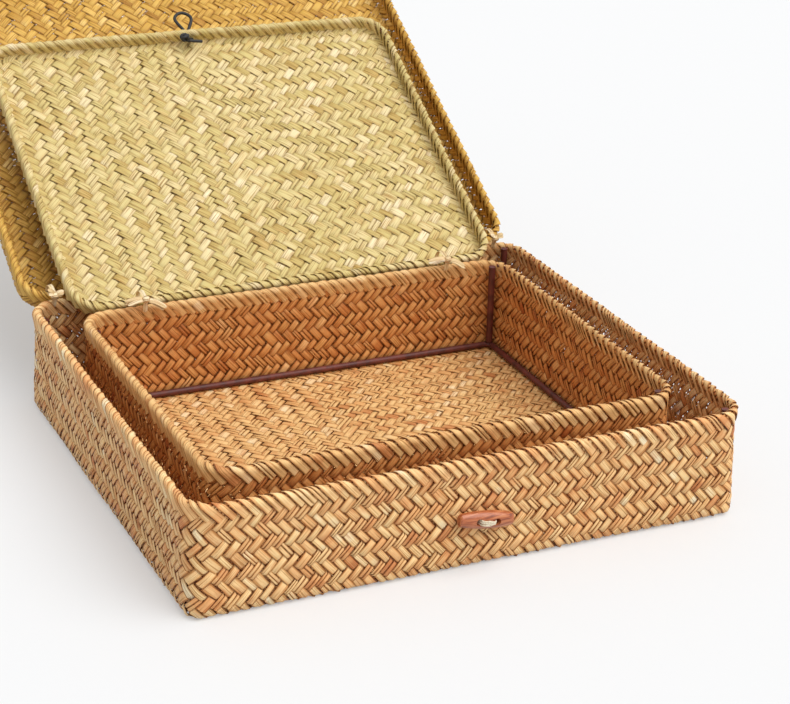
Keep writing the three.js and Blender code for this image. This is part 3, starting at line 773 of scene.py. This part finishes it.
# The lids
# Each lid is a shallow tray of paler, greener straw, tied to its box along the back rim.
OUTER_LID_STRAW = ((188, 140, 64), (208, 165, 80), (216, 173, 86), (226, 185, 98), (240, 207, 132))
outer_lid_straw = straw_material("outer_lid_straw", OUTER_LID_STRAW, (206, 158, 84), 0.5)
outer_lid_tray = tray_sizes(340, BOX_DEPTHS["outer"], 19, 20, 20, 9, lid_place("outer", 19), 37)
tray_pieces(outer_lid_tray, "outer_lid", ("outer_lid_panel_weave", "outer_lid_wall_weave", "outer_lid_fold"),
            "outer_lid_shell", "outer_lid_border", 7.0, outer_lid_straw, outer_lid_straw)

INNER_LID_STRAW = ((194, 166, 99), (207, 187, 121), (216, 198, 136), (227, 208, 154), (243, 228, 188))
inner_lid_straw = straw_material("inner_lid_straw", INNER_LID_STRAW, (220, 184, 120), 0.3)
inner_lid_tray = tray_sizes(292, BOX_DEPTHS["inner"], 13, 20, 20, 9, lid_place("inner", 13), 41)
tray_pieces(inner_lid_tray, "inner_lid", ("inner_lid_panel_weave", "inner_lid_wall_weave", "inner_lid_fold"),
            "inner_lid_shell", "inner_lid_border", 7.0, inner_lid_straw, inner_lid_straw)

# The wire frame
# A stiff wire in a dark red-brown coating runs round each floor, with a post in each corner,
# and a hoop of thinner wire lies inside every border. The right posts reach up into the border.
RING_WIRE = 3.9
POST_WIRE = 4.4
POST_BELOW_CREST = 3.0
RING_BEND = 4.1
coated_wire, shader, nodes, link = new_material("coated_wire")
coords = nodes.new("ShaderNodeTexCoord")
scuffs = nodes.new("ShaderNodeTexNoise")
scuffs.inputs["Scale"].default_value = 160
scuffs.inputs["Detail"].default_value = 5
coating = nodes.new("ShaderNodeValToRGB")
coating.color_ramp.elements[0].position = 0.35
coating.color_ramp.elements[0].color = colour(76, 30, 24)
coating.color_ramp.elements[1].position = 0.7
coating.color_ramp.elements[1].color = colour(118, 54, 42)
gloss = nodes.new("ShaderNodeMapRange")
gloss.inputs["To Min"].default_value = 0.45
gloss.inputs["To Max"].default_value = 0.65
link(coords.outputs["Object"], scuffs.inputs["Vector"])
link(scuffs.outputs["Fac"], coating.inputs["Fac"])
link(coating.outputs["Color"], shader.inputs["Base Color"])
link(scuffs.outputs["Fac"], gloss.inputs["Value"])
link(gloss.outputs["Result"], shader.inputs["Roughness"])


def select_only(piece):
    """Leaves one piece selected and active."""
    bpy.ops.object.select_all(action="DESELECT")
    bpy.context.view_layer.objects.active = piece
    piece.select_set(True)


def wire_piece(name, points, diameter, closed):
    """A round wire through the points, as a smooth mesh."""
    piece = cord_curve(name, points, diameter)
    piece.data.splines[0].use_cyclic_u = closed
    piece.data.materials.append(coated_wire)
    select_only(piece)
    bpy.ops.object.convert(target="MESH")
    bpy.ops.object.shade_smooth_by_angle(angle=STEM_SMOOTHING)
    piece = bpy.context.object
    piece.select_set(False)
    return piece


for side in ("outer", "inner"):
    low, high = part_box(side + "_foot_wire")
    wire_radius = RING_WIRE * MM / 2
    ring_points = []
    for corner in range(4):
        corner_x = high.x - wire_radius if corner in (0, 3) else low.x + wire_radius
        corner_y = high.y - wire_radius if corner in (0, 1) else low.y + wire_radius
        inward_x = -1 if corner in (0, 3) else 1
        inward_y = -1 if corner in (0, 1) else 1
        for step in range(9):
            turn = (corner + step / 8) * math.pi / 2
            x = corner_x + (inward_x + math.cos(turn)) * RING_BEND * MM
            y = corner_y + (inward_y + math.sin(turn)) * RING_BEND * MM
            ring_points.append((x, y, (low.z + high.z) / 2))
    wires = {"foot_wire": wire_piece(side + "_floor_ring", ring_points, RING_WIRE, True)}
    wire_radius = POST_WIRE * MM / 2
    border_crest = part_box(side + "_rim_border")[1].z
    for depth_side in ("front", "back"):
        for width_side in ("left", "right"):
            post = "post_" + depth_side + "_" + width_side
            low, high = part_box(side + "_" + post)
            foot_x, top_x = low.x + wire_radius, high.x - wire_radius
            foot_y, top_y = low.y + wire_radius, high.y - wire_radius
            if width_side == "right":
                foot_x, top_x = top_x, foot_x
            if depth_side == "back":
                foot_y, top_y = top_y, foot_y
            long_top = border_crest - POST_BELOW_CREST * MM
            post_top = long_top if width_side == "right" else high.z
            grown = (post_top - low.z) / (high.z - low.z)
            top_x, top_y = foot_x + (top_x - foot_x) * grown, foot_y + (top_y - foot_y) * grown
            post_points = [(foot_x, foot_y, low.z), (top_x, top_y, post_top)]
            name = side + "_corner_" + depth_side + "_" + width_side
            wires[post] = wire_piece(name, post_points, POST_WIRE, False)
    for node, piece in wires.items():
        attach(piece, side + "_box")
        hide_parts(side + "_" + node)
    for hoop in ("rim_hoop", "lid_hoop"):
        node = frame["nodes"][side + "_" + hoop]
        node.data.materials.clear()
        node.data.materials.append(coated_wire)

# The toggles
# A turned barrel of red-brown wood with two holes through it is sewn to the middle of each front wall.
# The outer one hangs a little aslant.
TOGGLE_LENGTH = 33.0
TOGGLE_SPAN = 44.6
TOGGLE_BREADTH = 10.4
TOGGLE_THICKNESS = 8.0
TOGGLE_HOLE = 4.0
HOLE_SPACING = 11.0
TOGGLE_LEANS = {"outer": math.radians(8), "inner": 0.0}
toggle_wood, shader, nodes, link = new_material("toggle_wood")
coords = nodes.new("ShaderNodeTexCoord")
stretch = nodes.new("ShaderNodeMapping")
stretch.inputs["Scale"].default_value = (70, 700, 700)
grain = nodes.new("ShaderNodeTexNoise")
grain.inputs["Scale"].default_value = 1
grain.inputs["Detail"].default_value = 6
grain.inputs["Distortion"].default_value = 0.6
wood_tone = nodes.new("ShaderNodeValToRGB")
wood_tone.color_ramp.elements[0].position = 0.28
wood_tone.color_ramp.elements[0].color = colour(112, 50, 26)
wood_tone.color_ramp.elements[1].position = 0.72
wood_tone.color_ramp.elements[1].color = colour(214, 140, 92)
middle_tone = wood_tone.color_ramp.elements.new(0.5)
middle_tone.color = colour(184, 100, 56)
polish = nodes.new("ShaderNodeMapRange")
polish.inputs["To Min"].default_value = 0.42
polish.inputs["To Max"].default_value = 0.26
pores = nodes.new("ShaderNodeBump")
pores.inputs["Strength"].default_value = 0.25
pores.inputs["Distance"].default_value = 0.0002
link(coords.outputs["Object"], stretch.inputs["Vector"])
link(stretch.outputs["Vector"], grain.inputs["Vector"])
link(grain.outputs["Fac"], wood_tone.inputs["Fac"])
link(wood_tone.outputs["Color"], shader.inputs["Base Color"])
link(grain.outputs["Fac"], polish.inputs["Value"])
link(polish.outputs["Result"], shader.inputs["Roughness"])
link(grain.outputs["Fac"], pores.inputs["Height"])
link(pores.outputs["Normal"], shader.inputs["Normal"])
shader.inputs["Coat Weight"].default_value = 0.25
shader.inputs["Coat Roughness"].default_value = 0.2

toggle_places = {}
for side, lean in TOGGLE_LEANS.items():
    low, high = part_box(side + "_toggle")
    toggle_places[side] = (low + high) / 2
    bpy.ops.object.select_all(action="DESELECT")
    bpy.ops.mesh.primitive_uv_sphere_add(segments=40, ring_count=36, radius=0.5,
                                         rotation=(0, math.pi / 2, 0))
    toggle = bpy.context.object
    toggle.name = side + "_wooden_toggle"
    bpy.ops.object.transform_apply(location=False, rotation=True, scale=False)
    toggle.scale = (TOGGLE_SPAN * MM, TOGGLE_THICKNESS * MM, TOGGLE_BREADTH * MM)
    bpy.ops.object.transform_apply(location=False, rotation=False, scale=True)
    bpy.ops.object.mode_set(mode="EDIT")
    for end in (-1, 1):
        bpy.ops.mesh.select_all(action="SELECT")
        bpy.ops.mesh.bisect(plane_co=(end * TOGGLE_LENGTH * MM / 2, 0, 0), plane_no=(end, 0, 0),
                            use_fill=True, clear_outer=True)
        bpy.ops.mesh.bevel(offset=0.9 * MM, segments=3, affect="EDGES")
    bpy.ops.object.mode_set(mode="OBJECT")
    for end in (-1, 1):
        bpy.ops.object.select_all(action="DESELECT")
        bpy.ops.mesh.primitive_cylinder_add(vertices=28, radius=TOGGLE_HOLE * MM / 2, depth=0.03,
                                            location=(end * HOLE_SPACING * MM / 2, 0, 0),
                                            rotation=(math.pi / 2, 0, 0))
        drill = bpy.context.object
        select_only(toggle)
        bpy.ops.object.modifier_add(type="BOOLEAN")
        toggle.modifiers[-1].object = drill
        toggle.modifiers[-1].operation = "DIFFERENCE"
        bpy.ops.object.modifier_apply(modifier=toggle.modifiers[-1].name)
        bpy.data.objects.remove(drill, do_unlink=True)
    toggle.rotation_euler = (0, lean, 0)
    toggle.location = toggle_places[side]
    bpy.ops.object.transform_apply(location=True, rotation=True, scale=True)
    bpy.ops.object.shade_smooth_by_angle(angle=math.radians(40))
    toggle.data.materials.clear()
    toggle.data.materials.append(toggle_wood)
    toggle.select_set(False)
    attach(toggle, side + "_box")
    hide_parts(side + "_toggle")

# The stitches
# Several turns of cream thread run through both holes and the wall behind, and hold the toggle on.
STITCH_TURNS = 4
THREAD_WIDTH = 1.0
thread_cream, shader, nodes, link = new_material("thread_cream")
coords = nodes.new("ShaderNodeTexCoord")
twist = nodes.new("ShaderNodeTexNoise")
twist.inputs["Scale"].default_value = 1800
twist.inputs["Detail"].default_value = 3
thread_tone = nodes.new("ShaderNodeValToRGB")
thread_tone.color_ramp.elements[0].position = 0.3
thread_tone.color_ramp.elements[0].color = colour(206, 184, 146)
thread_tone.color_ramp.elements[1].position = 0.65
thread_tone.color_ramp.elements[1].color = colour(248, 238, 214)
plies = nodes.new("ShaderNodeBump")
plies.inputs["Strength"].default_value = 0.6
plies.inputs["Distance"].default_value = 0.0002
link(coords.outputs["Object"], twist.inputs["Vector"])
link(twist.outputs["Fac"], thread_tone.inputs["Fac"])
link(thread_tone.outputs["Color"], shader.inputs["Base Color"])
link(twist.outputs["Fac"], plies.inputs["Height"])
link(plies.outputs["Normal"], shader.inputs["Normal"])
shader.inputs["Roughness"].default_value = 0.8

for side, lean in TOGGLE_LEANS.items():
    place = np.array(toggle_places[side])
    rng = np.random.default_rng(51)
    turns = []
    for turn in range(STITCH_TURNS):
        level = (turn - (STITCH_TURNS - 1) / 2) * THREAD_WIDTH * 0.62
        slant = rng.uniform(0.3, 0.9) * (-1) ** turn
        half_turn = [(0.0, -5.2), (3.2, -4.7), (4.5, -2.6), (4.8, 1.0), (4.8, 5.4), (3.4, 7.4), (0.0, 7.6)]
        outline = half_turn + [(-x, y) for x, y in half_turn[-2:0:-1]]
        thread = []
        for x, y in outline + outline[:1]:
            spread = 1.35 if abs(x) < 3 else 0.75
            z = level * spread + slant * x / 5
            turned_x = x * math.cos(lean) + z * math.sin(lean)
            turned_z = z * math.cos(lean) - x * math.sin(lean)
            thread.append((turned_x, y, turned_z))
        route = [tuple(place + np.array(point) * MM) for point in smooth_route(thread, 49)[:-1]]
        piece = cord_curve(side + "_stitch_" + str(turn), route, THREAD_WIDTH)
        piece.data.bevel_resolution = 2
        piece.data.splines[0].use_cyclic_u = True
        piece.data.materials.append(thread_cream)
        turns.append(piece)
    bpy.ops.object.select_all(action="DESELECT")
    for piece in turns:
        piece.select_set(True)
    bpy.context.view_layer.objects.active = turns[0]
    bpy.ops.object.convert(target="MESH")
    bpy.ops.object.join()
    stitch = bpy.context.object
    stitch.name = side + "_thread_stitch"
    bpy.ops.object.shade_smooth_by_angle(angle=math.radians(60))
    stitch.select_set(False)
    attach(stitch, side + "_box")
    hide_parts(side + "_toggle_stitch")

# The ties
# Each lid hangs on two ties: strips of pale raffia passed round both rims and knotted on the inner
# side, above the rim, with the frayed ends left loose.
TIE_RADIUS = 7.0
TIE_STRIP = 1.7
STRIP_THICKNESS = 0.5
TIE_KNOTS = {"outer": (-9.2, 4.0), "inner": (-8.4, 5.0)}
TAIL_RUNS = {"outer": ((-5.0, -3.0, 4.0), (5.5, -1.8, 2.0)),
             "inner": ((-13.0, 0.5, -1.5), (14.0, -1.0, -8.0))}
TAIL_STRIPS = (-1.2, -0.4, 0.4, 1.2)
TAIL_POINTS = 13
KNOT_SIZE = (2.3, 1.5, 2.0)
KNOT_STRIP = 2.8
KNOT_PULL = 0.3
RING_POINTS = 41
RAFFIA = ((222, 192, 142), (240, 218, 174), (250, 240, 212))
raffia = straw_material("raffia", RAFFIA, (226, 190, 146), 0.3)


def lay_strip(bundle, points, normals, widths, tone):
    """One flat strip along points in the open, facing along the normals."""
    points, normals = np.array(points, float), np.array(normals, float)
    along = np.gradient(points, axis=0)
    across = np.cross(along, normals)
    across /= np.linalg.norm(across, axis=1)[:, None]
    crown = np.cross(across, along)
    crown /= np.linalg.norm(crown, axis=1)[:, None]
    widths = np.broadcast_to(np.asarray(widths, float), len(points))[:, None]
    rings = [points + side * widths * across + rise * STRIP_THICKNESS * crown for side, rise in FLAT_SECTION]
    add_rings(bundle, np.stack(rings, axis=1), FLAT_SECTION, tone, tone)


def lay_tie(bundle, rng, knot_place, runs):
    """Rings, knot and frayed ends of one tie, round the x axis."""
    knot = np.array([0.0, *knot_place])
    knot_turn = math.atan2(knot_place[1], knot_place[0])
    for shift, grow in ((-0.7, 0.0), (0.6, 0.3)):
        gone = np.linspace(0, 2 * math.pi, RING_POINTS)
        turns = knot_turn + gone
        drawn = np.exp(-(np.minimum(gone, 2 * math.pi - gone) / KNOT_PULL)**2)
        reach = TIE_RADIUS + grow + (np.linalg.norm(knot) - TIE_RADIUS) * drawn
        out = np.column_stack([np.zeros(RING_POINTS), np.cos(turns), np.sin(turns)])
        points = out * reach[:, None] + np.array([shift, 0, 0])
        lay_strip(bundle, points, out, TIE_STRIP, rng.random())
    for tilt in (-0.6, 0.2, 0.7):
        turns = np.linspace(0, 2 * math.pi, 25)
        aside = np.sin(turns)
        out = np.column_stack([np.cos(turns), aside * math.cos(tilt), aside * math.sin(tilt)])
        lay_strip(bundle, knot + out * np.array(KNOT_SIZE), out, KNOT_STRIP, rng.random())
    for tail in runs:
        tail = np.array(tail)
        for strip in TAIL_STRIPS:
            fray = np.array([0.0, 0.15, 0.6]) * strip + rng.normal(0, 0.35, 3)
            bend = knot + tail * 0.4 + np.array([0, -0.4, 1.0]) + fray
            tip = knot + tail * rng.uniform(0.82, 1.05) + fray * 1.6
            points = smooth_route([knot, bend, tip], TAIL_POINTS)
            normals = np.tile((0.0, -0.72, 0.7), (TAIL_POINTS, 1))
            widths = np.interp(np.linspace(0, 1, TAIL_POINTS), (0, 0.3, 0.9, 1), (1.6, 2.8, 2.2, 0.5))
            lay_strip(bundle, points, normals, widths, rng.random())


for side, runs in TAIL_RUNS.items():
    hinge = np.array(joint_places[side + "_lid_hinge"]) / MM
    for end, seed in (("left", 61), ("right", 67)):
        low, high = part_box(side + "_tie_" + end)
        tie_x = (low.x + high.x) / 2 / MM
        bundle = new_bundle()
        lay_tie(bundle, np.random.default_rng(seed), TIE_KNOTS[side], runs)
        tie_place = np.array([tie_x, hinge[1], hinge[2]])
        tie = finish_weave(bundle, side + "_raffia_" + end, lambda points: points + tie_place, raffia)
        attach(tie, side + "_box")
        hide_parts(side + "_tie_" + end)
